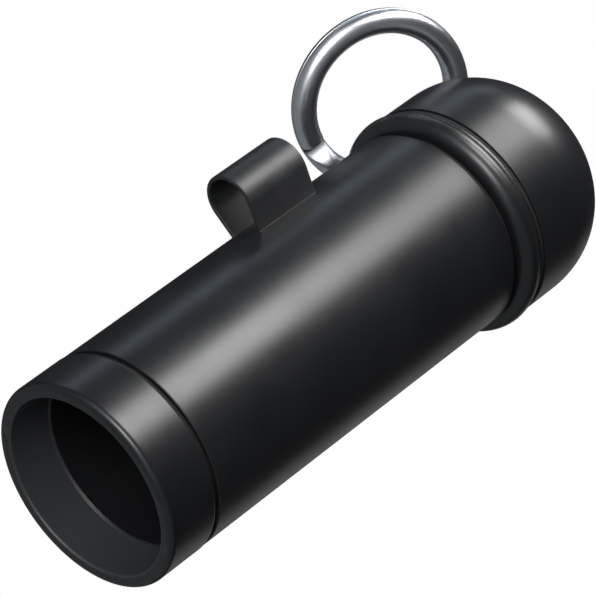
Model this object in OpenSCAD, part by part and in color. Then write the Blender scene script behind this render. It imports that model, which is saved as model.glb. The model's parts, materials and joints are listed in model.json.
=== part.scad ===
// Tubular stopped vessel flute: an open mouth, a straight barrel with a side loop,
// a push-on domed cap, and a split ring on the cap.
// It stands on its mouth rim, with +Z from the mouth to the dome and +X at the side loop.

/* [Barrel] */
// Outside diameter of the barrel
barrel_d = 24; // [22:0.5:28]
// Length of the plain barrel tube
barrel_len = 48.1; // [46:0.5:60]
// Wall of the barrel tube
barrel_wall = 1; // [0.8:0.1:1.4]
// Edge chamfer on both ends of the barrel
barrel_chamfer = 0.3; // [0.1:0.05:0.4]

/* [Mouth collar] */
// Length of the collar band
collar_len = 6.75; // [6:0.25:9]
// How far the collar band stands proud of the barrel
collar_proud = 0.06; // [0:0.02:0.2]
// Wall of the collar at the mouth
collar_wall = 1.62; // [1.4:0.02:2]
// Depth of the step inside the mouth
step_depth = 5.65; // [5:0.05:5.9]
// Height of the bevelled step inside the mouth
step_size = 0.24; // [0.15:0.01:0.4]
// Length of the collar spigot inside the barrel
collar_spigot = 8; // [6:0.5:12]
// Width of the groove behind the collar
groove_w = 0.6; // [0.4:0.05:1]
// Outside rounding of the mouth rim
rim_round_out = 0.8; // [0.5:0.05:0.9]
// Inside rounding of the mouth rim
rim_round_in = 0.35; // [0.2:0.05:0.4]

/* [Side loop] */
// Bottom edge of the loop above the mouth
loop_z = 32.9; // [28:0.1:36]
// Length of the loop along the barrel
loop_len = 9; // [6:0.5:11]
// Outside radius of the round top of the loop
loop_r = 3.3; // [3.1:0.1:4]
// Distance of the round top's centre from the barrel's surface
loop_rise = 3.54; // [3:0.02:4.5]
// Wall of the loop strap
loop_wall = 0.5; // [0.4:0.05:0.8]
// How much each leg leans inward
loop_lean = 13; // [8:1:16]

/* [Cap] */
// Gap between the barrel and the cap bead
cap_gap = 0.5; // [0.4:0.05:0.8]
// Outside diameter of the cap skirt
cap_d = 26.4; // [26:0.1:28]
// Outside diameter of the bead at the cap's edge
bead_d = 26.9; // [26.6:0.1:29]
// Height of the bead
bead_h = 2.85; // [2.5:0.05:3.5]
// Height of the straight skirt above the bead
skirt_h = 4.9; // [4.5:0.1:8]
// Height of the dome
dome_h = 11.5; // [10:0.5:13]
// Squareness of the dome, where 2 is an ellipse
dome_power = 2.12; // [2:0.02:2.6]
// Radial clearance of the cap on the neck
cap_clearance = 0.09; // [0.05:0.01:0.1]

/* [Lanyard eye and ring] */
// Direction of the eye round the cap, from the side loop
eye_azimuth = -71; // [-90:1:-50]
// Turn of the tightened eye about its own shank
eye_twist = 26.6; // [20:0.2:32]
// Radius of the hole in the eye
eye_hole_r = 2.5; // [2.5:0.05:2.6]
// Middle radius of the split ring
ring_mid_r = 9.3; // [9:0.1:11]
// Width of the ring wire across the ring
wire_w = 2.8; // [2.4:0.1:2.8]
// Height of one turn of the ring wire
wire_h = 1.4; // [1.2:0.1:1.4]

/* [Tuning plug] */
// Height of the plug's face above the mouth
plug_z = 33; // [30:0.5:34]
// Length of the plug
plug_len = 5; // [4:0.5:6]
// Radial clearance of the plug in the barrel
plug_clearance = 0.09; // [0.05:0.01:0.1]
// Diameter of the plug's stem
stem_d = 3; // [2.5:0.1:4]
// Diameter of the pull knob
knob_d = 9; // [7:0.5:12]

/* [Hidden] */
$fn = 96;
arc_steps = 8;
dome_steps = 20;
cut = 0.01;
edge_round = 0.3;

barrel_r = barrel_d / 2;
bore_r = barrel_r - barrel_wall;
collar_r = barrel_r + collar_proud;
mouth_r = collar_r - collar_wall;
spigot_bore_r = mouth_r - step_size;
barrel_z = collar_len + groove_w;
barrel_top = barrel_z + barrel_len;

// Neck sleeve and its seals
neck_bore_r = bore_r - 1.6;
neck_tail = 12;
neck_rise = 5.3;
neck_z = barrel_top - neck_tail;
neck_top = barrel_top + neck_rise;
cord_r = 0.42;
seal_bulge = 0.05;
seal_groove_w = 1.1;
seal_groove_depth = 0.8;
seal_z = [barrel_top + 1.65, barrel_top + 3.75];

// Cap
bead_z = barrel_top + cap_gap;
bead_r = bead_d / 2;
cap_r = cap_d / 2;
cap_bore_r = bore_r + cap_clearance;
cap_spigot_r = barrel_r + 0.2;
cap_floor = bead_z + 0.45;
line_w = 0.4;
skirt_z = bead_z + bead_h + line_w;
dome_z = skirt_z + skirt_h;
cap_inner_h = dome_h - (cap_r - cap_bore_r);
bead_bore_r = cap_bore_r + 0.15;
gasket_recess = 0.42;
line_recess = 0.22;
bead_back = 48;
gasket_play = 0.05;

// Lanyard eye, seated on the skirt and clear of the neck
eye_wall = 0.8;
eye_thick = 1.3;
eye_z = dome_z - 0.5;
eye_r = cap_r + eye_hole_r + eye_wall + 0.25;
shank_r = 1.2;
flange_r = 2.2;
flange_top = cap_r + 0.75;
eye_washer_r = 2.1;
eye_washer_gap = 0.05;
eye_nut_af = 4;
eye_nut_h = 1.5;
eye_nut_seat = cap_bore_r - 0.7;

// Rest attitude of the ring in the eye
ring_swing = 13.6;
ring_lean = -22.4;
ring_slip = -5.6;
turn_gap = 0.04;
slit_w = 0.4;
crossing = [2, 2.4, 0.6];
seam_round = 0.15;
wire_round = min(wire_h - seam_round, wire_w / 2 - 0.1);
split_angle = -48;
split_half = 10;

// Tuning plug
plug_r = bore_r - plug_clearance;
stem_r = stem_d / 2;
plug_top = plug_z + plug_len;
plug_nut_af = 5.5;
plug_nut_h = 2.2;
plug_washer_h = 0.6;
knob_h = 4.5;
knob_z = plug_top + 21;
knob_r = knob_d / 2;
stem_z = plug_z + 1.5;
stem_top = knob_z + knob_h - 1;
flutes = 16;
flute_r = 0.5;
flute_depth = 0.2;

black = "#17191c";
rubber = "#0c0d0e";
steel = "#b9c0c8";
brass = "#b8944f";

// Points of an arc, from angle a0 to angle a1
function arc(x, y, rx, ry, a0, a1, n = arc_steps) =
    [for (i = [0:n]) let (a = a0 + (a1 - a0) * i / n) [x + rx * cos(a), y + ry * sin(a)]];

// Dome outline from the skirt to the axis, as a superellipse
function dome(r, h, z, n = dome_steps) =
    [for (i = [0:n]) let (a = 90 * i / n)
        [r * pow(cos(a), 2 / dome_power), z + h * pow(sin(a), 2 / dome_power)]];

module tube(r_out, r_in, z, h) {
    translate([0, 0, z]) difference() {
        cylinder(r = r_out, h = h);
        translate([0, 0, -cut]) cylinder(r = r_in, h = h + 2 * cut);
    }
}

module o_ring(mid_r, z) {
    translate([0, 0, z]) rotate_extrude() translate([mid_r, 0]) circle(r = cord_r, $fn = 32);
}

module hex_nut(across_flats, hole_r, h) {
    difference() {
        cylinder(d = across_flats / cos(30), h = h, $fn = 6);
        translate([0, 0, -cut]) cylinder(r = hole_r, h = h + 2 * cut);
    }
}

// Frame of the eye: X out along the shank, Z along the hole
module at_eye() {
    rotate([0, 0, eye_azimuth]) translate([eye_r, 0, eye_z]) rotate([eye_twist, 0, 0]) children();
}

// A cylinder along the eye's shank, between two distances from the barrel's axis
module shank_rod(r, from, to) {
    rotate([0, 0, eye_azimuth]) translate([from, 0, eye_z]) rotate([0, 90, 0])
        cylinder(r = r, h = to - from);
}

module mouth_collar() {
    step_z = step_depth + step_size;
    color(black) rotate_extrude() polygon(concat(
        arc(collar_r - rim_round_out, rim_round_out, rim_round_out, rim_round_out, -90, 0),
        arc(collar_r - edge_round, collar_len - edge_round, edge_round, edge_round, 0, 90, 4),
        [[bore_r, collar_len], [bore_r, collar_len + collar_spigot]],
        [[spigot_bore_r, collar_len + collar_spigot], [spigot_bore_r, step_z], [mouth_r, step_depth]],
        arc(mouth_r + rim_round_in, rim_round_in, rim_round_in, rim_round_in, 180, 270, 5)));
}

module collar_gasket() {
    color(rubber) tube(barrel_r - gasket_recess, bore_r, collar_len, groove_w);
}

module barrel() {
    color(black) rotate_extrude() polygon([
        [bore_r, barrel_z], [barrel_r - barrel_chamfer, barrel_z], [barrel_r, barrel_z + barrel_chamfer],
        [barrel_r, barrel_top - barrel_chamfer], [barrel_r - barrel_chamfer, barrel_top],
        [bore_r, barrel_top]]);
}

// Outline of the loop: a round top with two leaning legs
module loop_outline(r) {
    centre = barrel_r + loop_rise;
    top_x = centre - r * sin(loop_lean);
    top_y = r * cos(loop_lean);
    foot_x = barrel_r - 2;
    foot_y = top_y - (top_x - foot_x) * tan(loop_lean);
    translate([centre, 0]) circle(r = r);
    polygon([[top_x, top_y], [foot_x, foot_y], [foot_x, -foot_y], [top_x, -top_y]]);
}

module side_loop() {
    color(black) translate([0, 0, loop_z]) linear_extrude(loop_len) difference() {
        loop_outline(loop_r);
        loop_outline(loop_r - loop_wall);
        circle(r = barrel_r, $fn = 96);
    }
}

module neck_sleeve() {
    color(black) difference() {
        tube(bore_r, neck_bore_r, neck_z, neck_top - neck_z);
        for (z = seal_z) translate([0, 0, z - seal_groove_w / 2])
            tube(bore_r + 1, bore_r - seal_groove_depth, 0, seal_groove_w);
    }
}

module neck_o_ring_lower() {
    color(rubber) o_ring(bore_r + seal_bulge - cord_r, seal_z[0]);
}

module neck_o_ring_upper() {
    color(rubber) o_ring(bore_r + seal_bulge - cord_r, seal_z[1]);
}

module cap_gasket() {
    color(rubber) tube(barrel_r - gasket_recess, bore_r, barrel_top, cap_gap - gasket_play);
}

module tuning_plug() {
    color(brass) difference() {
        translate([0, 0, plug_z]) cylinder(r = plug_r, h = plug_len);
        translate([0, 0, plug_z + (plug_len - seal_groove_w) / 2])
            tube(bore_r + 1, plug_r - seal_groove_depth, 0, seal_groove_w);
        translate([0, 0, stem_z]) cylinder(r = stem_r, h = plug_len);
    }
}

module plug_o_ring() {
    color(rubber) o_ring(plug_r + seal_bulge - cord_r, plug_z + plug_len / 2);
}

module plug_stem() {
    color(steel) translate([0, 0, stem_z]) cylinder(r = stem_r, h = stem_top - stem_z);
}

module plug_washer() {
    color(steel) tube(stem_r + 2.2, stem_r, plug_top, plug_washer_h);
}

module plug_nut() {
    color(steel) translate([0, 0, plug_top + plug_washer_h]) hex_nut(plug_nut_af, stem_r, plug_nut_h);
}

// Pull knob with shallow grip flutes round its side
module plug_knob() {
    color(brass) difference() {
        translate([0, 0, knob_z]) rotate_extrude() polygon(concat(
            [[0, 0]], arc(knob_r - 0.4, 0.4, 0.4, 0.4, -90, 0, 4),
            arc(knob_r - 0.8, knob_h - 0.8, 0.8, 0.8, 0, 90, 5), [[0, knob_h]]));
        for (i = [0:flutes - 1]) rotate([0, 0, i * 360 / flutes])
            translate([knob_r + flute_r - flute_depth, 0, knob_z - cut])
                cylinder(r = flute_r, h = knob_h + 1, $fn = 16);
        translate([0, 0, knob_z - cut]) cylinder(r = stem_r, h = stem_top - knob_z + cut);
    }
}

module end_cap() {
    color(black) difference() {
        rotate_extrude() polygon(concat(
            [[cap_bore_r, cap_floor], [cap_spigot_r, cap_floor], [cap_spigot_r, skirt_z]],
            arc(cap_r - edge_round, skirt_z + edge_round, edge_round, edge_round, -90, 0, 4),
            dome(cap_r, dome_h, dome_z),
            [for (i = [dome_steps:-1:0]) dome(cap_bore_r, cap_inner_h, dome_z)[i]]));
        shank_rod(shank_r, cap_bore_r - 2, cap_r + 2);
    }
}

// Round bead that runs out level with the thin line behind it
module cap_bead() {
    round_r = bead_r - barrel_r;
    bead_top = bead_z + bead_h;
    color(black) rotate_extrude() polygon(concat(
        [[bead_bore_r, bead_z]],
        arc(barrel_r, bead_z + bead_h / 2, round_r, bead_h / 2, -90, bead_back, 14),
        [[barrel_r + round_r * cos(bead_back), bead_top], [cap_spigot_r, bead_top]],
        [[cap_spigot_r, cap_floor], [bead_bore_r, cap_floor]]));
}

module bead_gasket() {
    color(rubber) tube(cap_r - line_recess, cap_spigot_r, bead_z + bead_h, line_w);
}

module lanyard_eye() {
    color(steel) union() {
        difference() {
            union() {
                at_eye() translate([0, 0, -eye_thick / 2])
                    cylinder(r = eye_hole_r + eye_wall, h = eye_thick);
                shank_rod(flange_r, cap_r - 1, flange_top);
            }
            at_eye() translate([0, 0, -eye_thick]) cylinder(r = eye_hole_r, h = 2 * eye_thick);
            cylinder(r = cap_r, h = 2 * eye_z);
        }
        shank_rod(shank_r, eye_nut_seat - eye_nut_h - 0.2, cap_r + 0.3);
    }
}

// The space inside the cap, drawn in by a small gap
module cap_inside(gap) {
    r = cap_bore_r - gap;
    rotate_extrude() polygon(concat(
        [[0, cap_floor], [r, cap_floor]], dome(r, cap_inner_h - gap, dome_z)));
}

// Curved outside to sit against the cap, and flat inside for the nut
module eye_washer() {
    color(steel) intersection() {
        difference() {
            shank_rod(eye_washer_r, eye_nut_seat, cap_bore_r + 1);
            shank_rod(shank_r, eye_nut_seat - 1, cap_bore_r + 2);
        }
        cap_inside(eye_washer_gap);
    }
}

module eye_nut() {
    color(steel) rotate([0, 0, eye_azimuth]) translate([eye_nut_seat - eye_nut_h, 0, eye_z])
        rotate([0, 90, 0]) hex_nut(eye_nut_af, shank_r, eye_nut_h);
}

// One turn of the ring wire: flat against its neighbour and half round on the outside
module wire_turn() {
    far = wire_w / 2 - wire_round;
    near = wire_w / 2 - seam_round;
    rotate_extrude() translate([ring_mid_r, turn_gap / 2]) polygon(concat(
        arc(near, seam_round, seam_round, seam_round, -90, 0, 3),
        arc(far, wire_h - wire_round, wire_round, wire_round, 0, 90, 8),
        arc(-far, wire_h - wire_round, wire_round, wire_round, 90, 180, 8),
        arc(-near, seam_round, seam_round, seam_round, 180, 270, 3)));
}

// Two turns of wire, joined by a short crossing between the two wire ends
module split_ring() {
    color(steel) at_eye() rotate([ring_slip, ring_lean, ring_swing]) translate([0, ring_mid_r, 0])
        rotate([0, 90, 0]) difference() {
            union() {
                wire_turn();
                mirror([0, 0, 1]) wire_turn();
                rotate([0, 0, split_angle]) translate([ring_mid_r, 0, 0]) cube(crossing, center = true);
            }
            for (side = [-1, 1]) rotate([0, 0, split_angle - side * split_half])
                translate([ring_mid_r, 0, side * (wire_h + turn_gap / 4)])
                    cube([wire_w + 2, slit_w, 2 * wire_h], center = true);
        }
}

mouth_collar();
collar_gasket();
barrel();
side_loop();
neck_sleeve();
neck_o_ring_lower();
neck_o_ring_upper();
cap_gasket();
tuning_plug();
plug_o_ring();
plug_stem();
plug_washer();
plug_nut();
plug_knob();
end_cap();
cap_bead();
bead_gasket();
lanyard_eye();
eye_washer();
eye_nut();
split_ring();
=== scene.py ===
"""Looks for a tubular stopped vessel flute: satin black tube, domed cap, side loop and split ring.

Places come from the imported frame, and other sizes are the named values below. Units are metres.
"""

import json
import math

import bmesh
import bpy
from mathutils import Matrix, Vector


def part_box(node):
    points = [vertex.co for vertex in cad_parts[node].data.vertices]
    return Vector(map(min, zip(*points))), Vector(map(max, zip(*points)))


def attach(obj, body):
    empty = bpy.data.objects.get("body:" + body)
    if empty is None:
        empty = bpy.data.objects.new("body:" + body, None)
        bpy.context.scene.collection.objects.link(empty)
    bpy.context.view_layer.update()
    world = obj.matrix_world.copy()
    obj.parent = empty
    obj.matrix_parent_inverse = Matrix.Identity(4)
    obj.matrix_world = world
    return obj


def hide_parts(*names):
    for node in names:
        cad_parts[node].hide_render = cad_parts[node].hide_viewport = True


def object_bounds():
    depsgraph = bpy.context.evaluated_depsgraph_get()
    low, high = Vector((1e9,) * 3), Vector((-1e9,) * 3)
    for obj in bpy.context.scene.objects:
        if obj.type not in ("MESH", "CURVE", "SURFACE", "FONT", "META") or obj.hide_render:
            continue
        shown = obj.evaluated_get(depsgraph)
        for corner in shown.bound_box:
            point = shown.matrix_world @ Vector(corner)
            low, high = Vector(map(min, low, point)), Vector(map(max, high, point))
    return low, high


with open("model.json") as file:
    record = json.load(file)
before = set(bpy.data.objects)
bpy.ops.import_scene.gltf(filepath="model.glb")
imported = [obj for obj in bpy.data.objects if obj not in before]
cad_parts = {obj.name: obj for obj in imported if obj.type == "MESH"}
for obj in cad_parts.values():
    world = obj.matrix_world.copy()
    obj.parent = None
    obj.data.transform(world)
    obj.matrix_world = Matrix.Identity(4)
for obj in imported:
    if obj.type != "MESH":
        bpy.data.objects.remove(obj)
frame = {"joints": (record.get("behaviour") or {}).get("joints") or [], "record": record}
cad_box = [list(corner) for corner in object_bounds()]
record = frame["record"]

MM = 0.001
SEGMENTS = 192
MOUTH_STEP_Z = 5.65 * MM


# ---------------------------------------------------------------- camera, lamps and stage

AIM = Vector((2.6 * MM, -0.7 * MM, 35.7 * MM))
CAMERA_DISTANCE = 0.4116
CAMERA_AZIMUTH = 165.0
CAMERA_ELEVATION = -35.75
CAMERA_ROLL = 53.7
LENS = 232.6


def aim_rotation(forward, roll=0.0):
    """Rotation of something that looks along forward, rolled about its line of sight."""
    turn = forward.to_track_quat("-Z", "Y").to_matrix().to_4x4()
    return turn @ Matrix.Rotation(math.radians(roll), 4, "Z")


def make_camera():
    azimuth, elevation = math.radians(CAMERA_AZIMUTH), math.radians(CAMERA_ELEVATION)
    forward = Vector(
        (
            -math.sin(azimuth) * math.cos(elevation),
            math.cos(azimuth) * math.cos(elevation),
            -math.sin(elevation),
        )
    )
    data = bpy.data.cameras.new("camera")
    data.lens = LENS
    data.clip_start = 0.01
    data.clip_end = 30
    camera = bpy.data.objects.new("camera", data)
    bpy.context.scene.collection.objects.link(camera)
    place = Matrix.Translation(AIM - forward * CAMERA_DISTANCE)
    camera.matrix_world = place @ aim_rotation(forward, CAMERA_ROLL)
    bpy.context.scene.camera = camera
    return camera


def make_lamp(name, view, distance, width, height, power, colour=(1, 1, 1), aim_z=AIM.z):
    """A soft box, aimed at a height on the tube's axis.

    view is its direction from the object: right, up and towards the photographer.
    """
    axes = camera.matrix_world.to_3x3()
    outward = (axes @ Vector(view)).normalized()
    data = bpy.data.lights.new(name, "AREA")
    data.shape = "RECTANGLE"
    data.size = width
    data.size_y = height
    data.energy = power
    data.color = colour
    lamp = bpy.data.objects.new(name, data)
    bpy.context.scene.collection.objects.link(lamp)
    aim = Vector((AIM.x, AIM.y, aim_z))
    lamp.matrix_world = Matrix.Translation(aim + outward * distance) @ aim_rotation(-outward)


def make_world():
    """White behind the object, and a studio round it that is pale below and dim above."""
    world = bpy.data.worlds.new("studio")
    world.use_nodes = True
    tree = world.node_tree
    tree.nodes.clear()
    output = tree.nodes.new("ShaderNodeOutputWorld")
    mix = tree.nodes.new("ShaderNodeMixShader")
    backdrop = tree.nodes.new("ShaderNodeBackground")
    backdrop.inputs["Color"].default_value = (1, 1, 1, 1)
    room = tree.nodes.new("ShaderNodeBackground")
    room.inputs["Color"].default_value = (0.88, 0.94, 1.0, 1)
    direction = tree.nodes.new("ShaderNodeTexCoord")
    split = tree.nodes.new("ShaderNodeSeparateXYZ")
    fade = tree.nodes.new("ShaderNodeMapRange")
    fade.interpolation_type = "SMOOTHSTEP"
    fade.inputs["From Min"].default_value = FADE_START
    fade.inputs["From Max"].default_value = FADE_END
    fade.inputs["To Min"].default_value = LOW_ROOM
    fade.inputs["To Max"].default_value = HIGH_ROOM
    path = tree.nodes.new("ShaderNodeLightPath")
    tree.links.new(direction.outputs["Generated"], split.inputs[0])
    tree.links.new(split.outputs["Z"], fade.inputs["Value"])
    tree.links.new(fade.outputs[0], room.inputs["Strength"])
    tree.links.new(path.outputs["Is Camera Ray"], mix.inputs["Fac"])
    tree.links.new(room.outputs[0], mix.inputs[1])
    tree.links.new(backdrop.outputs[0], mix.inputs[2])
    tree.links.new(mix.outputs[0], output.inputs["Surface"])
    bpy.context.scene.world = world


def make_floor():
    """A pale floor seen from above only, so that the low camera looks through its back.

    Only camera rays meet it, so its own glow keeps it pale far off and lights nothing.
    """
    mesh = bpy.data.meshes.new("floor")
    half, low = FLOOR_HALF, cad_box[0][2] - FLOOR_GAP
    corners = [(-half, -half, low), (half, -half, low), (half, half, low), (-half, half, low)]
    mesh.from_pydata(corners, [], [(0, 1, 2, 3)])
    floor = bpy.data.objects.new("floor", mesh)
    bpy.context.scene.collection.objects.link(floor)
    paint = bpy.data.materials.new("floor_paint")
    paint.use_nodes = True
    tree = paint.node_tree
    shader = tree.nodes["Principled BSDF"]
    shader.inputs["Base Color"].default_value = (0.45, 0.45, 0.445, 1)
    shader.inputs["Roughness"].default_value = 0.9
    shader.inputs["Emission Color"].default_value = (1, 1, 1, 1)
    shader.inputs["Emission Strength"].default_value = FLOOR_GLOW
    clear = tree.nodes.new("ShaderNodeBsdfTransparent")
    mix = tree.nodes.new("ShaderNodeMixShader")
    side = tree.nodes.new("ShaderNodeNewGeometry")
    tree.links.new(side.outputs["Backfacing"], mix.inputs["Fac"])
    tree.links.new(shader.outputs[0], mix.inputs[1])
    tree.links.new(clear.outputs[0], mix.inputs[2])
    tree.links.new(mix.outputs[0], tree.nodes["Material Output"].inputs["Surface"])
    mesh.materials.append(paint)
    floor.visible_diffuse = False
    floor.visible_glossy = False
    floor.visible_shadow = False
    floor.visible_transmission = False


# The room's brightness below and above, and the heights (as sines) between which it fades.
LOW_ROOM, HIGH_ROOM = 0.25, 0.03
FADE_START, FADE_END = -0.35, 0.25
FLOOR_HALF, FLOOR_GAP, FLOOR_GLOW = 3.0, 0.05 * MM, 0.72

camera = make_camera()
make_world()
make_floor()
make_lamp(
    "key", view=(0.547, 0.793, 0.265), distance=0.20, width=0.085, height=0.07, power=0.26,
    aim_z=-10 * MM,
)
make_lamp(
    "crown", view=(0.560, 0.828, -0.03), distance=0.17, width=0.09, height=0.075, power=0.29,
    aim_z=66 * MM,
)
make_lamp(
    "sky", view=(-0.14, 0.895, -0.421), distance=0.50, width=0.08, height=0.40, power=0.18,
    colour=(0.70, 0.84, 1.0),
)
make_lamp(
    "rim", view=(0.355, -0.332, -0.874), distance=0.70, width=0.40, height=0.40, power=0.16,
)
make_lamp(
    "left", view=(-0.27, 0.50, 0.82), distance=0.60, width=0.46, height=0.46, power=0.6,
    colour=(0.92, 0.96, 1.0),
)
make_lamp(
    "front", view=(-0.215, 0.195, 0.944), distance=0.60, width=0.24, height=0.24, power=2.6,
)
make_lamp(
    "mouth", view=(-0.30, -0.25, 0.92), distance=0.60, width=0.40, height=0.40, power=0.25,
    aim_z=0,
)
bpy.context.scene.view_settings.view_transform = "Standard"


# ---------------------------------------------------------------- materials


class Shader:
    """A Principled material with short calls for its procedural nodes."""

    def __init__(self, name, **sockets):
        self.material = bpy.data.materials.new(name)
        self.material.use_nodes = True
        self.tree = self.material.node_tree
        self.main = self.tree.nodes["Principled BSDF"]
        place = self.tree.nodes.new("ShaderNodeTexCoord")
        self.place = place.outputs["Object"]
        for socket, value in sockets.items():
            label = socket.replace("_", " ")
            self.main.inputs[label].default_value = value

    def node(self, kind, **settings):
        made = self.tree.nodes.new(kind)
        for key, value in settings.items():
            setattr(made, key, value)
        return made

    def link(self, source, target):
        self.tree.links.new(source, target)

    def stretched(self, scale, turn=(0, 0, 0)):
        mapping = self.node("ShaderNodeMapping")
        mapping.inputs["Scale"].default_value = scale
        mapping.inputs["Rotation"].default_value = [math.radians(a) for a in turn]
        self.link(self.place, mapping.inputs["Vector"])
        return mapping.outputs[0]

    def noise(self, scale, detail=2.0, roughness=0.5, vector=None):
        made = self.node("ShaderNodeTexNoise")
        made.inputs["Scale"].default_value = scale
        made.inputs["Detail"].default_value = detail
        made.inputs["Roughness"].default_value = roughness
        self.link(vector or self.place, made.inputs["Vector"])
        return made.outputs["Fac"]

    def ramp(self, source, low, high, low_value, high_value):
        """Maps source from low..high to low_value..high_value."""
        made = self.node("ShaderNodeMapRange")
        for socket, value in zip(
            ("From Min", "From Max", "To Min", "To Max"), (low, high, low_value, high_value)
        ):
            made.inputs[socket].default_value = value
        self.link(source, made.inputs["Value"])
        return made.outputs[0]

    def math(self, operation, a, b):
        made = self.node("ShaderNodeMath", operation=operation)
        for socket, value in zip(made.inputs, (a, b)):
            if isinstance(value, (int, float)):
                socket.default_value = value
            else:
                self.link(value, socket)
        return made.outputs[0]

    def colours(self, source, dark, light):
        made = self.node("ShaderNodeMix", data_type="RGBA")
        made.inputs["A"].default_value = (*dark, 1)
        made.inputs["B"].default_value = (*light, 1)
        self.link(source, made.inputs["Factor"])
        self.link(made.outputs["Result"], self.main.inputs["Base Color"])

    def bump(self, height, distance, strength=1.0, under=None):
        made = self.node("ShaderNodeBump")
        made.inputs["Distance"].default_value = distance
        made.inputs["Strength"].default_value = strength
        self.link(height, made.inputs["Height"])
        if under:
            self.link(under, made.inputs["Normal"])
        return made.outputs[0]

    def set(self, socket, source):
        self.link(source, self.main.inputs[socket])


def inner_land(shader):
    """1 on the mouth's inner land, between the rim and the step, and 0 elsewhere: where light is painted.
    """
    flat = shader.node("ShaderNodeVectorMath", operation="MULTIPLY")
    flat.inputs[1].default_value = (1, 1, 0)
    shader.link(shader.place, flat.inputs[0])
    radius = shader.node("ShaderNodeVectorMath", operation="LENGTH")
    shader.link(flat.outputs["Vector"], radius.inputs[0])
    split = shader.node("ShaderNodeSeparateXYZ")
    shader.link(shader.place, split.inputs[0])
    wall_r, blur = 10.65 * MM, 0.15 * MM
    inside = shader.ramp(radius.outputs["Value"], wall_r - blur, wall_r + blur, 1.0, 0.0)
    land_end = MOUTH_STEP_Z - 0.05 * MM
    near = shader.ramp(split.outputs["Z"], land_end, land_end + blur, 1.0, 0.0)
    return shader.math("MULTIPLY", inside, near)


def scratches(shader, turn, length_scale, keep):
    """Sparse hairlines: noise stretched one way, with only its crests kept."""
    lines = shader.noise(1.0, 1.0, 0.4, shader.stretched((9000, length_scale, length_scale), turn))
    return shader.ramp(lines, keep, keep + 0.05, 0.0, 1.0)


def edge_wear(shader):
    """1 where handling has rubbed a raised edge, broken up by noise, and 0 elsewhere."""
    raised = shader.node("ShaderNodeNewGeometry").outputs["Pointiness"]
    edges = shader.ramp(raised, 0.505, 0.56, 0, 1)
    patches = shader.ramp(shader.noise(420, 5.0, 0.65), 0.42, 0.62, 0, 1)
    return shader.math("MULTIPLY", edges, patches)


def satin_plastic():
    """Moulded black plastic: fine grain, uneven gloss from handling and a few hairlines.

    The land inside the mouth is rougher, and its paler grey is painted light, standing in for
    light on the mouth's inner wall. Rubbed edges are paler and smoother.
    """
    shader = Shader("satin_black_plastic", Specular_IOR_Level=0.5)
    haze = shader.noise(140, 4.0, 0.6)
    # The mouth's inner land: painted light there (a paler grey), and more roughness.
    painted_light_land = inner_land(shader)
    worn = edge_wear(shader)
    # pale: painted light on the inner land, plus real rubbed wear on raised edges.
    pale = shader.math("MAXIMUM", painted_light_land, shader.math("MULTIPLY", worn, 0.55))
    shader.colours(
        shader.math("MAXIMUM", shader.math("MULTIPLY", haze, 0.12), pale),
        (0.0050, 0.0053, 0.0060),
        (0.028, 0.029, 0.031),
    )
    one_way = scratches(shader, (20, 35, 10), 160, 0.72)
    other_way = scratches(shader, (70, -20, 50), 210, 0.74)
    lines = shader.math("MAXIMUM", one_way, other_way)
    smooth = shader.ramp(haze, 0.3, 0.7, 0.31, 0.37)
    gloss = shader.math("ADD", smooth, shader.math("MULTIPLY", painted_light_land, 0.14))
    smoothed = shader.math("SUBTRACT", gloss, shader.math("MULTIPLY", worn, 0.06))
    shader.set("Roughness", shader.math("ADD", smoothed, shader.math("MULTIPLY", lines, 0.05)))
    grain = shader.bump(shader.noise(3200, 3.0, 0.6), 0.004 * MM, 0.6)
    shader.set("Normal", shader.bump(lines, 0.0015 * MM, 0.5, grain))
    return shader.material


def painted_strap():
    """Black lacquer over brushed metal, rubbed paler on its edges."""
    shader = Shader("black_lacquer", Specular_IOR_Level=0.5)
    brush = shader.noise(1.0, 2.0, 0.5, shader.stretched((400, 400, 7000)))
    mottle = shader.math("MULTIPLY", shader.noise(200, 3.0), 0.12)
    thin = shader.math("MAXIMUM", mottle, shader.math("MULTIPLY", edge_wear(shader), 0.6))
    shader.colours(thin, (0.0065, 0.0068, 0.0075), (0.040, 0.041, 0.043))
    shader.set("Roughness", shader.ramp(brush, 0.3, 0.7, 0.40, 0.47))
    shader.set("Normal", shader.bump(brush, 0.002 * MM, 0.5))
    return shader.material


def seal_rubber():
    """Dull black rubber with a fine pebble and faint paler patches."""
    shader = Shader("seal_rubber", Specular_IOR_Level=0.35)
    pebble = shader.noise(5200, 4.0, 0.65)
    shader.colours(shader.noise(600, 4.0), (0.006, 0.006, 0.0065), (0.014, 0.014, 0.014))
    shader.set("Roughness", shader.ramp(pebble, 0.3, 0.7, 0.62, 0.80))
    shader.set("Normal", shader.bump(pebble, 0.008 * MM, 0.7))
    return shader.material


def polished_steel():
    """Polished spring steel: drawn-wire hairlines and soft patches of wear."""
    shader = Shader("polished_steel", Metallic=1.0)
    wear = shader.noise(260, 4.0, 0.6)
    shader.colours(wear, (0.56, 0.575, 0.60), (0.67, 0.685, 0.71))
    lines = scratches(shader, (35, 10, 60), 260, 0.66)
    gloss = shader.ramp(wear, 0.3, 0.7, 0.30, 0.36)
    shader.set("Roughness", shader.math("ADD", gloss, shader.math("MULTIPLY", lines, 0.06)))
    shader.set("Normal", shader.bump(shader.noise(1800, 2.0), 0.0006 * MM, 0.4))
    return shader.material


def turned_metal(name, dark, light, low_gloss, high_gloss):
    """Turned metal with fine tool rings about the tube's axis."""
    shader = Shader(name, Metallic=1.0)
    rings = shader.noise(1.0, 2.0, 0.6, shader.stretched((250, 250, 9000)))
    shader.colours(shader.noise(320, 4.0, 0.6), dark, light)
    shader.set("Roughness", shader.ramp(rings, 0.3, 0.7, low_gloss, high_gloss))
    shader.set("Normal", shader.bump(rings, 0.0025 * MM, 0.6))
    return shader.material


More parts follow.
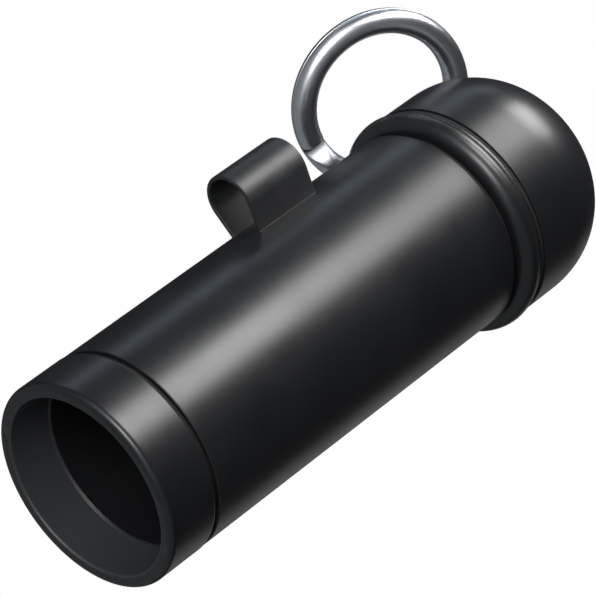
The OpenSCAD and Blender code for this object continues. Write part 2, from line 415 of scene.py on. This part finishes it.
FINISHES = {
    "body_black": satin_plastic(),
    "loop_black": painted_strap(),
    "seal_rubber": seal_rubber(),
    "ring_steel": polished_steel(),
    "hardware_steel": turned_metal("turned_steel", (0.40, 0.41, 0.42), (0.56, 0.57, 0.58), 0.22, 0.36),
    "plug_brass": turned_metal("turned_brass", (0.52, 0.34, 0.12), (0.70, 0.49, 0.20), 0.20, 0.34),
}
SLOT_OF = {part["node"]: part["material_slot"] for part in record["subparts"]}
BODY_OF = {
    node: body for body, nodes in record["behaviour"]["bodies"].items() for node in nodes
}


# ---------------------------------------------------------------- mesh tools


def add_piece(node, mesh):
    """Shows mesh in place of a CAD node, on the same body and in the same finish."""
    mesh.materials.append(FINISHES[SLOT_OF[node]])
    piece = bpy.data.objects.new(node + "_detail", mesh)
    bpy.context.scene.collection.objects.link(piece)
    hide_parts(node)
    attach(piece, BODY_OF[node])


def finish_mesh(bm, name):
    """Closes a bmesh into a mesh with outward normals and smooth shading."""
    bmesh.ops.remove_doubles(bm, verts=bm.verts, dist=1e-7)
    bmesh.ops.recalc_face_normals(bm, faces=bm.faces)
    mesh = bpy.data.meshes.new(name)
    bm.to_mesh(mesh)
    bm.free()
    mesh.shade_smooth()
    return mesh


def joined(name, meshes):
    """One mesh from several."""
    bm = bmesh.new()
    for mesh in meshes:
        bm.from_mesh(mesh)
    return finish_mesh(bm, name)


def arc(centre, radii, start, end, steps):
    """Points of an arc or elliptical arc, with angles in degrees."""
    angles = [math.radians(start + (end - start) * k / steps) for k in range(steps + 1)]
    return [(centre[0] + radii[0] * math.cos(a), centre[1] + radii[1] * math.sin(a)) for a in angles]


def superellipse(radius, height, base, power, steps=48):
    """Dome outline from its edge to the axis."""
    points = []
    for k in range(steps):
        angle = 0.5 * math.pi * k / steps
        r = radius * math.cos(angle) ** (2 / power)
        points.append((r, base + height * math.sin(angle) ** (2 / power)))
    return points + [(0.0, base + height)]


def swung(first, last, share):
    """The vector part of the way from first to last, about their common start."""
    return first.slerp(last, share).normalized() * first.length


def rounded(corners, closed=True, support=0.12 * MM, step=12.0):
    """Outline of (r, z) points from (r, z, rounding) corners, with a point close beside each rounding.

    An open outline leaves out its first and last corner, which only give directions.
    """
    points = []
    count = len(corners)
    for i in range(0 if closed else 1, count if closed else count - 1):
        here = Vector(corners[i][:2])
        back = Vector(corners[i - 1][:2]) - here
        on = Vector(corners[(i + 1) % count][:2]) - here
        room = min(back.length, on.length)
        half = back.angle(on) / 2
        reach = min(corners[i][2] / math.tan(half), 0.45 * room)
        beside = reach + min(support, 0.05 * room)
        back.normalize()
        on.normalize()
        centre = here + (back + on).normalized() * (reach / math.cos(half))
        first, last = here + back * reach - centre, here + on * reach - centre
        steps = max(2, math.ceil((180 - math.degrees(2 * half)) / step))
        points.append(here + back * beside)
        points += [centre + swung(first, last, k / steps) for k in range(steps + 1)]
        points.append(here + on * beside)
    return [(p.x, p.y) for p in points]


def lathe(name, outline, segments=SEGMENTS, warp=None, matrix=None):
    """Turns a closed (r, z) outline about Z. warp changes a point's radius by its place and angle."""
    bm = bmesh.new()
    rings = []
    for i in range(segments):
        angle = 2 * math.pi * i / segments
        ring = []
        for r, z in outline:
            radius = warp(r, z, angle) if warp else r
            ring.append(bm.verts.new((radius * math.cos(angle), radius * math.sin(angle), z)))
        rings.append(ring)
    for i, ring in enumerate(rings):
        following = rings[(i + 1) % segments]
        for k, (r, z) in enumerate(outline):
            m = (k + 1) % len(outline)
            if r < 1e-9 and outline[m][0] < 1e-9:
                continue
            bm.faces.new((ring[k], following[k], following[m], ring[m]))
    if matrix is not None:
        bmesh.ops.transform(bm, matrix=matrix, verts=bm.verts)
    bmesh.ops.remove_doubles(bm, verts=bm.verts, dist=1e-7)
    bmesh.ops.dissolve_degenerate(bm, edges=bm.edges, dist=1e-8)
    return finish_mesh(bm, name)


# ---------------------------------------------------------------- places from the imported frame


def extent(node):
    """(largest distance from the axis, lowest z, highest z) of a turned CAD node."""
    low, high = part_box(node)
    return high[0], low[2], high[2]


def mount(name):
    return next(m for m in record["mounts"] if m["name"] == name)


def joint(name):
    return next(j for j in frame["joints"] if j["name"] == name)


def axes_at(origin, x_axis, z_axis):
    """Matrix of a local frame with that origin, X and Z."""
    z_axis = z_axis.normalized()
    x_axis = (x_axis - z_axis * x_axis.dot(z_axis)).normalized()
    turn = Matrix((x_axis, z_axis.cross(x_axis), z_axis)).transposed()
    return Matrix.Translation(origin) @ turn.to_4x4()


BARREL_R, BARREL_FOOT, BARREL_TOP = extent("barrel")
BORE_R = BARREL_R - 1.0 * MM
CAP_R = extent("end_cap")[0]
CAP_BORE_R = BORE_R + 0.09 * MM
CAP_SPIGOT_R = BARREL_R + 0.2 * MM
SKIRT_H, DOME_POWER = 4.9 * MM, 2.12
BEAD_BACK = 48  # degrees past the bead's widest point at which its round ends
SEAL_DEPTH, SEAL_HALF = 0.8 * MM, 0.55 * MM

# The eye stands out from the cap. Its hole lies along the hinge of the ring.
EYE_CENTRE = Vector(joint("ring_swing")["pos_m"])
EYE_OUT = Vector((EYE_CENTRE.x, EYE_CENTRE.y, 0)).normalized()
EYE_HOLE_AXIS = -Vector(joint("ring_swing")["axis"])
EYE_HOLE_R, EYE_WALL, EYE_THICK = 2.5 * MM, 0.8 * MM, 1.3 * MM
EYE_FRAME = axes_at(EYE_CENTRE, EYE_OUT, EYE_HOLE_AXIS)
SHANK_FRAME = axes_at(Vector((0, 0, EYE_CENTRE.z)), Vector((0, 0, 1)), EYE_OUT)
SHANK_R, SHANK_PITCH = 1.2 * MM, 0.45 * MM
EYE_NUT_TOP, EYE_NUT_H = CAP_BORE_R - 0.7 * MM, 1.5 * MM

# The ring's own frame: Z along its axis, away from the main view, and -Y towards the eye.
RING_CENTRE = Vector(mount("ring_hole")["pos_m"])
RING_AXIS = Vector(mount("ring_hole")["axis"])
RING_FRAME = axes_at(RING_CENTRE, (RING_CENTRE - EYE_CENTRE).cross(RING_AXIS), RING_AXIS)
RING_MID_R = 9.3 * MM
RING_CROSSING, RING_HALF_CROSSING, RING_END_GAP = -48.0, 10.0, 1.2
WIRE_EDGE = 0.12 * MM


# ---------------------------------------------------------------- collar, barrel and neck


def mouth_collar():
    """Band with a rolled rim, a bevelled step inside and a spigot up into the barrel."""
    outer, low, top = extent("mouth_collar")
    band_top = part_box("collar_gasket")[0][2]
    mouth_r = mount("mouth_bore")["dims"]["r_mm"] * MM
    step = 0.24 * MM
    outline = rounded(
        [
            (outer, low, 0.8 * MM),
            (outer, band_top, 0.36 * MM),
            (BORE_R, band_top, 0.05 * MM),
            (BORE_R, top, 0.15 * MM),
            (mouth_r - step, top, 0.15 * MM),
            (mouth_r - step, MOUTH_STEP_Z + step, 0.05 * MM),
            (mouth_r, MOUTH_STEP_Z, 0.05 * MM),
            (mouth_r, low, 0.35 * MM),
        ]
    )
    add_piece("mouth_collar", lathe("mouth_collar", outline))


def barrel():
    """Straight tube, rounded at its lower edge and with a soft chamfer at its upper edge."""
    chamfer, soft = 0.3 * MM, 0.09 * MM
    outline = rounded(
        [
            (BORE_R, BARREL_FOOT, 0.05 * MM),
            (BARREL_R, BARREL_FOOT, 0.12 * MM),
            (BARREL_R, BARREL_TOP - chamfer, soft),
            (BARREL_R - chamfer, BARREL_TOP, soft),
            (BORE_R, BARREL_TOP, 0.05 * MM),
        ]
    )
    add_piece("barrel", lathe("barrel", outline))


def seal_groove(outer, middle):
    """Corners of a groove for an O-ring, from below to above."""
    floor = outer - SEAL_DEPTH
    low, high = middle - SEAL_HALF, middle + SEAL_HALF
    return [
        (outer, low, 0.08 * MM),
        (floor, low, 0.05 * MM),
        (floor, high, 0.05 * MM),
        (outer, high, 0.08 * MM),
    ]


def neck_sleeve():
    """Thin sleeve in the top of the barrel, with a groove for each seal and a lead-in bevel."""
    outer, low, top = extent("neck_sleeve")
    bore = outer - 1.6 * MM
    corners = [(bore, low, 0.2 * MM), (outer, low, 0.1 * MM)]
    for node in ("neck_o_ring_lower", "neck_o_ring_upper"):
        _, foot, head = extent(node)
        corners += seal_groove(outer, (foot + head) / 2)
    corners += [(outer, top, 0.25 * MM), (bore, top, 0.2 * MM)]
    add_piece("neck_sleeve", lathe("neck_sleeve", rounded(corners)))


def o_ring(node):
    """Round seal."""
    outer, low, top = extent(node)
    radius = (top - low) / 2
    outline = arc((outer - radius, low + radius), (radius, radius), 0, 348.75, 31)
    add_piece(node, lathe(node, outline))


def flat_gasket(node, inner):
    """Flat rubber ring, softly rounded where it shows."""
    outer, low, top = extent(node)
    soft, tight = 0.12 * MM, 0.02 * MM
    corners = [(inner, low, tight), (outer, low, soft), (outer, top, soft), (inner, top, tight)]
    add_piece(node, lathe(node, rounded(corners, support=0.05 * MM)))


# ---------------------------------------------------------------- side loop


def leg_side(centre_x, lean, offset, fillet, root_r):
    """One face of the loop's leg on the +Y side, from inside the barrel's wall out to the round top.

    offset is the face's distance from the top's centre. A positive fillet lies on the outer face.
    """
    normal = Vector((-math.sin(lean), math.cos(lean)))
    along = Vector((-math.cos(lean), -math.sin(lean)))
    start = Vector((centre_x, 0)) + normal * (offset + fillet)
    reach = BARREL_R + abs(fillet)
    slope = start.dot(along)
    centre = start + along * (-slope - math.sqrt(slope**2 - start.length_squared + reach**2))
    to_barrel = -centre.normalized() * abs(fillet)
    to_leg = -normal * fillet
    bend = [centre + swung(to_barrel, to_leg, k / 6) for k in range(7)]
    beside = bend[-1] - along * (0.15 * MM)
    return [bend[0].normalized() * root_r] + bend + [beside]


def loop_face(centre_x, lean, offset, fillet, root_r):
    """A whole face of the loop: one leg, the round top and the other leg."""
    leg = [tuple(p) for p in leg_side(centre_x, lean, offset, fillet, root_r)]
    turn = 90 + math.degrees(lean)
    top = arc((centre_x, 0), (offset, offset), turn, -turn, 48)
    return leg + top + [(x, -y) for x, y in reversed(leg)]


def side_loop():
    """Bent strap open at both ends, with rounded edges and a small fillet along each foot."""
    low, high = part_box("side_loop")
    top_r, wall, edge, fillet = 3.3 * MM, 0.5 * MM, 0.13 * MM, 0.03 * MM
    lean = math.radians(13)
    centre_x = high[0] - top_r
    root_r = BARREL_R - 0.4 * MM
    levels = arc((edge, low[2] + edge), (edge, edge), 270, 180, 5)
    levels += [(inset, low[2] + high[2] - z) for inset, z in reversed(levels)]
    bm = bmesh.new()
    rings = []
    for inset, z in levels:
        outer = loop_face(centre_x, lean, top_r - inset, fillet + inset, root_r)
        inner = loop_face(centre_x, lean, top_r - wall + inset, -fillet - inset, root_r)
        rings.append([[bm.verts.new((x, y, z)) for x, y in face] for face in (outer, inner)])
    count = len(rings[0][0])
    for ring, following in zip(rings, rings[1:]):
        for side in (0, 1):
            for k in range(count - 1):
                bm.faces.new((ring[side][k], ring[side][k + 1], following[side][k + 1], following[side][k]))
        for k in (0, count - 1):
            bm.faces.new((ring[0][k], ring[1][k], following[1][k], following[0][k]))
    for outer, inner in (rings[0], rings[-1]):
        for k in range(count - 1):
            bm.faces.new((outer[k], outer[k + 1], inner[k + 1], inner[k]))
    add_piece("side_loop", finish_mesh(bm, "side_loop"))


# ---------------------------------------------------------------- cap


def end_cap():
    """Skirt and slightly square dome in one shell, open below."""
    outer, low, top = extent("end_cap")
    gasket_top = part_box("bead_gasket")[1][2]
    dome_z = gasket_top + SKIRT_H
    dome_h = top - dome_z
    outside = superellipse(outer, dome_h, dome_z, DOME_POWER)
    inside = superellipse(CAP_BORE_R, dome_h - (outer - CAP_BORE_R), dome_z, DOME_POWER)
    skirt = rounded(
        [
            (CAP_BORE_R, dome_z, 0),
            (CAP_BORE_R, low, 0.1 * MM),
            (CAP_SPIGOT_R, low, 0.05 * MM),
            (CAP_SPIGOT_R, gasket_top, 0.03 * MM),
            (outer, gasket_top, 0.08 * MM),
            (outer, dome_z, 0),
        ],
        closed=False,
    )
    add_piece("end_cap", lathe("end_cap", outside + inside[::-1] + skirt))


def cap_bead():
    """Round bead on the cap's edge, which runs out level with the thin line behind it."""
    outer, low, _ = extent("cap_bead")
    bead_bore = CAP_BORE_R + 0.15 * MM
    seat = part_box("end_cap")[0][2]
    bead_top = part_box("bead_gasket")[0][2]
    half = (bead_top - low) / 2
    bulge = arc((BARREL_R, low + half), (outer - BARREL_R, half), -90, BEAD_BACK, 40)
    inner = rounded(
        [
            bulge[-1] + (0,),
            (bulge[-1][0], bead_top, 0.05 * MM),
            (CAP_SPIGOT_R, bead_top, 0.03 * MM),
            (CAP_SPIGOT_R, seat, 0.03 * MM),
            (bead_bore, seat, 0.03 * MM),
            (bead_bore, low, 0.15 * MM),
            (BARREL_R, low, 0),
        ],
        closed=False,
    )
    add_piece("cap_bead", lathe("cap_bead", bulge + inner))


# ---------------------------------------------------------------- nuts, stem and eye


def nut(node, across_flats, hole, low, high, matrix=None):
    """Hexagon nut with bevelled corners and a countersunk hole."""
    bevels = [0.02 * MM, 0.05 * MM, 0.09 * MM, 0.13 * MM, 0.18 * MM, 0.25 * MM]
    rim, lip, sink = 0.5 * across_flats, 0.49 * across_flats, 0.2 * MM
    outside = [(rim, low + b) for b in bevels] + [(rim, high - b) for b in reversed(bevels)]
    inside = [(lip, high), (hole + sink, high), (hole, high - sink)]
    inside += [(hole, low + sink), (hole + sink, low), (lip, low)]

    def hexagon(r, z, angle):
        if r < lip + 1e-9:
            return r
        side = angle % (math.pi / 3) - math.pi / 6
        return min(rim / math.cos(side), lip + 1.7 * min(z - low, high - z))

    add_piece(node, lathe(node, outside + inside, 180, hexagon, matrix))


def threaded_rod(name, radius, low, high, thread_end, pitch, depth, matrix=None):
    """Bevelled rod with a screw thread from its low end up to thread_end."""
    bevel, fine = 0.25 * MM, pitch / 10
    count = round((thread_end - low - bevel) / fine)
    outline = [(0, low), (radius - bevel, low)]
    outline += [(radius, low + bevel + k * fine) for k in range(count)]
    outline += [(radius, high - bevel), (radius - bevel, high), (0, high)]

    def thread(r, z, angle):
        if r < radius - 1e-9 or z > thread_end:
            return r
        turn = ((z - low) / pitch - angle / (2 * math.pi)) % 1.0
        fade = min(1.0, (z - low) / pitch, (thread_end - z) / pitch)
        return r - depth * fade * (1 - abs(2 * turn - 1))

    return lathe(name, outline, 96, thread, matrix)


def lanyard_eye():
    """Eye bolt: a rounded eye on a flange, with a threaded shank through the cap's wall."""
    rim, half = EYE_HOLE_R + EYE_WALL, EYE_THICK / 2
    eye = rounded(
        [
            (EYE_HOLE_R, -half, 0.3 * MM),
            (rim, -half, 0.38 * MM),
            (rim, half, 0.38 * MM),
            (EYE_HOLE_R, half, 0.3 * MM),
        ],
        support=0.04 * MM,
    )
    root, seat = CAP_R - 0.5 * MM, CAP_R + 0.75 * MM
    neck_r, neck_top = 0.6 * MM, seat + 0.6 * MM
    flange = rounded(
        [
            (0, root, 0),
            (2.2 * MM, root, 0.05 * MM),
            (2.2 * MM, seat, 0.25 * MM),
            (neck_r, seat, 0.4 * MM),
            (neck_r, neck_top, 0.1 * MM),
            (0, neck_top, 0),
        ],
        closed=False,
        support=0.03 * MM,
    )
    flange = [(0, root)] + flange + [(0, neck_top)]
    shank_low = EYE_NUT_TOP - EYE_NUT_H - 0.2 * MM
    shank_high, thread_end = root + 0.1 * MM, EYE_NUT_TOP + 0.5 * MM
    parts = [
        lathe("eye", eye, 128, None, EYE_FRAME),
        lathe("flange", flange, 96, None, SHANK_FRAME),
        threaded_rod(
            "shank", SHANK_R, shank_low, shank_high, thread_end, SHANK_PITCH, 0.16 * MM, SHANK_FRAME
        ),
    ]
    add_piece("lanyard_eye", joined("lanyard_eye", parts))


def eye_washer():
    """Saddle washer: flat under the nut and curved to the inside of the cap's skirt and dome."""
    outer, hole, gap = 2.1 * MM, SHANK_R, 0.05 * MM
    seat = CAP_BORE_R - gap
    corners = [
        (hole, EYE_NUT_TOP, 0.03 * MM),
        (outer, EYE_NUT_TOP, 0.1 * MM),
        (outer, seat, 0.02 * MM),
        (hole, seat, 0.02 * MM),
    ]
    mesh = lathe("eye_washer", rounded(corners, support=0.05 * MM), 96, None, SHANK_FRAME)
    dome_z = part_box("bead_gasket")[1][2] + SKIRT_H
    dome_h = extent("end_cap")[2] - dome_z - (CAP_R - CAP_BORE_R)
    for vertex in mesh.vertices:
        rise = max(0.0, vertex.co.z - dome_z) / dome_h
        limit = CAP_BORE_R * (1 - rise**DOME_POWER) ** (1 / DOME_POWER) - gap
        overhang = math.hypot(vertex.co.x, vertex.co.y) / limit
        if overhang > 1:
            vertex.co.x /= overhang
            vertex.co.y /= overhang
    add_piece("eye_washer", mesh)


def eye_nut():
    nut("eye_nut", 4 * MM, SHANK_R, EYE_NUT_TOP - EYE_NUT_H, EYE_NUT_TOP, SHANK_FRAME)


# ---------------------------------------------------------------- tuning plug


def tuning_plug():
    """Piston with one seal groove, bevelled ends and a blind hole for its stem."""
    outer, low, top = extent("tuning_plug")
    hole, floor, _ = extent("plug_stem")
    corners = [(0, low, 0), (outer, low, 0.35 * MM)]
    corners += seal_groove(outer, (low + top) / 2)
    corners += [
        (outer, top, 0.35 * MM),
        (hole, top, 0.15 * MM),
        (hole, floor, 0.05 * MM),
        (0, floor, 0),
    ]
    outline = [(0, low)] + rounded(corners, closed=False) + [(0, floor)]
    add_piece("tuning_plug", lathe("tuning_plug", outline))


def plug_stem():
    """Straight stem, threaded where the plug's nut clamps it."""
    outer, low, top = extent("plug_stem")
    thread_end = extent("plug_nut")[2] + 2.2 * MM
    mesh = threaded_rod("plug_stem", outer, low, top, thread_end, 0.5 * MM, 0.2 * MM)
    add_piece("plug_stem", mesh)


def plug_washer():
    outer, low, top = extent("plug_washer")
    hole = extent("plug_stem")[0]
    corners = [
        (hole, low, 0.03 * MM),
        (outer, low, 0.15 * MM),
        (outer, top, 0.15 * MM),
        (hole, top, 0.1 * MM),
    ]
    add_piece("plug_washer", lathe("plug_washer", rounded(corners, support=0.05 * MM)))


def plug_nut():
    _, low, top = extent("plug_nut")
    nut("plug_nut", 5.5 * MM, extent("plug_stem")[0], low, top)


def plug_knob():
    """Pull knob with grip flutes round its side."""
    _, low, top = extent("plug_knob")
    hole, _, roof = extent("plug_stem")
    knob_r, flutes, flute_r, flute_depth = 4.5 * MM, 16, 0.5 * MM, 0.2 * MM
    pitch = 2 * math.pi / flutes
    outline = rounded(
        [
            (hole, roof, 0),
            (hole, low, 0.1 * MM),
            (knob_r, low, 0.4 * MM),
            (knob_r, top, 0.8 * MM),
            (0, top, 0),
        ],
        closed=False,
    )
    outline = [(0, roof), (hole, roof)] + outline + [(0, top)]

    def fluted(r, z, angle):
        across = r * math.sin((angle + pitch / 2) % pitch - pitch / 2)
        if r < 0.8 * knob_r or abs(across) >= flute_r:
            return r
        return min(r, knob_r + flute_r - flute_depth - math.sqrt(flute_r**2 - across**2))

    add_piece("plug_knob", lathe("plug_knob", outline, 384, fluted))


# ---------------------------------------------------------------- split ring


def wire_section(step):
    """Section of the ring's wire as (across, along the axis). step runs from 0, near turn, to 1, far turn.

    A turn is flat against its neighbour and half round on its outside.
    """
    width, height, gap = 2.8 * MM, 1.4 * MM, 0.02 * MM
    crown, seam = 1.25 * MM, 0.1 * MM
    low = -gap - height + step * (height + 2 * gap)
    bottom, top = crown + step * (seam - crown), seam + step * (crown - seam)
    half = width / 2
    corners = [
        (half, low, bottom),
        (half, low + height, top),
        (-half, low + height, top),
        (-half, low, bottom),
    ]
    points = []
    for i, (u, v, radius) in enumerate(corners):
        centre = (u - math.copysign(radius, u), v + (radius if i in (0, 3) else -radius))
        points += arc(centre, (radius, radius), 90 * i - 90, 90 * i, 8)
    return points


def ring_places():
    """(angle in degrees, share by which the blunt ends' edges draw in) along the wire's two turns."""
    edge_turn = math.degrees(WIRE_EDGE / RING_MID_R)
    first = RING_CROSSING + RING_HALF_CROSSING + RING_END_GAP
    last = first + 720 - 2 * (RING_HALF_CROSSING + RING_END_GAP)
    turns = [math.radians(30 * k) for k in range(4)]
    start = [(first + edge_turn * (1 - math.cos(t)), 1 - math.sin(t)) for t in turns]
    end = [(last - (angle - first), draw_in) for angle, draw_in in reversed(start)]
    count = 480
    length = last - first - 2 * edge_turn
    middle = [(first + edge_turn + length * k / count, 0.0) for k in range(1, count)]
    return start + middle + end


def split_ring():
    """Two turns of wire that lie together, with a short crossing between their blunt ends."""
    bm = bmesh.new()
    rings = []
    for angle, draw_in in ring_places():
        step_start = RING_CROSSING + 360 - RING_HALF_CROSSING
        share = min(1.0, max(0.0, (angle - step_start) / (2 * RING_HALF_CROSSING)))
        section = wire_section(share * share * (3 - 2 * share))
        middle = sum(v for _, v in section) / len(section)
        keep = 1 - draw_in * WIRE_EDGE / (0.7 * MM)
        turn = math.radians(angle)
        ring = []
        for u, v in section:
            r = RING_MID_R + u * keep
            place = (r * math.cos(turn), r * math.sin(turn), middle + (v - middle) * keep)
            ring.append(bm.verts.new(place))
        rings.append(ring)
    size = len(rings[0])
    for ring, following in zip(rings, rings[1:]):
        for k in range(size):
            m = (k + 1) % size
            bm.faces.new((ring[k], ring[m], following[m], following[k]))
    bm.faces.new(rings[0])
    bm.faces.new(rings[-1])
    bmesh.ops.transform(bm, matrix=RING_FRAME, verts=bm.verts)
    add_piece("split_ring", finish_mesh(bm, "split_ring"))


# ---------------------------------------------------------------- build

mouth_collar()
flat_gasket("collar_gasket", BORE_R)
barrel()
side_loop()
neck_sleeve()
for seal in ("neck_o_ring_lower", "neck_o_ring_upper", "plug_o_ring"):
    o_ring(seal)
flat_gasket("cap_gasket", BORE_R)
tuning_plug()
plug_stem()
plug_washer()
plug_nut()
plug_knob()
end_cap()
cap_bead()
flat_gasket("bead_gasket", CAP_SPIGOT_R)
lanyard_eye()
eye_washer()
eye_nut()
split_ring()
